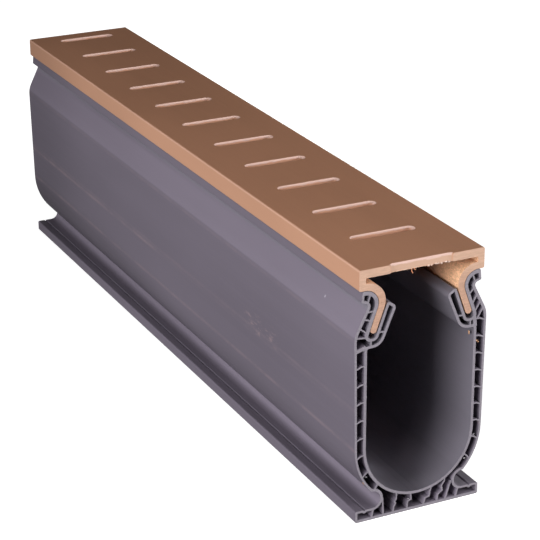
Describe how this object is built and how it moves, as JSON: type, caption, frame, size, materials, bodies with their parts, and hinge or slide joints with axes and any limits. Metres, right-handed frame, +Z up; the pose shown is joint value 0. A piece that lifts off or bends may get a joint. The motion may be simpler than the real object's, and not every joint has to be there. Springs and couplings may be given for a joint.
{
  "type": "channel drain",
  "caption": "Deep, narrow channel drain: a twin-wall U-shaped trough on a flanged foot, with a slotted cover whose splayed legs run in pockets along both rims.",
  "frame": {"origin": "middle of the foot's underside, halfway along the channel", "axes": "+X across the channel, +Y along it from the front end to the back end, +Z up out of the slotted cover"},
  "size_m": [0.049, 0.305, 0.0898],
  "materials": {
    "channel_plastic": "satin extruded PVC, grey with a violet tinge, sawn ends",
    "cover_plastic": "satin extruded PVC, sandy tan, sawn ends"
  },
  "bodies": {
    "channel": {"channel": "channel_plastic"},
    "cover": {"cover": "cover_plastic"}
  },
  "joints": [
    {"name": "cover_slide", "type": "slide", "parent": "channel", "child": "cover", "axis": [0, 1, 0], "range_m": [-0.3, 0.3]}
  ]
}
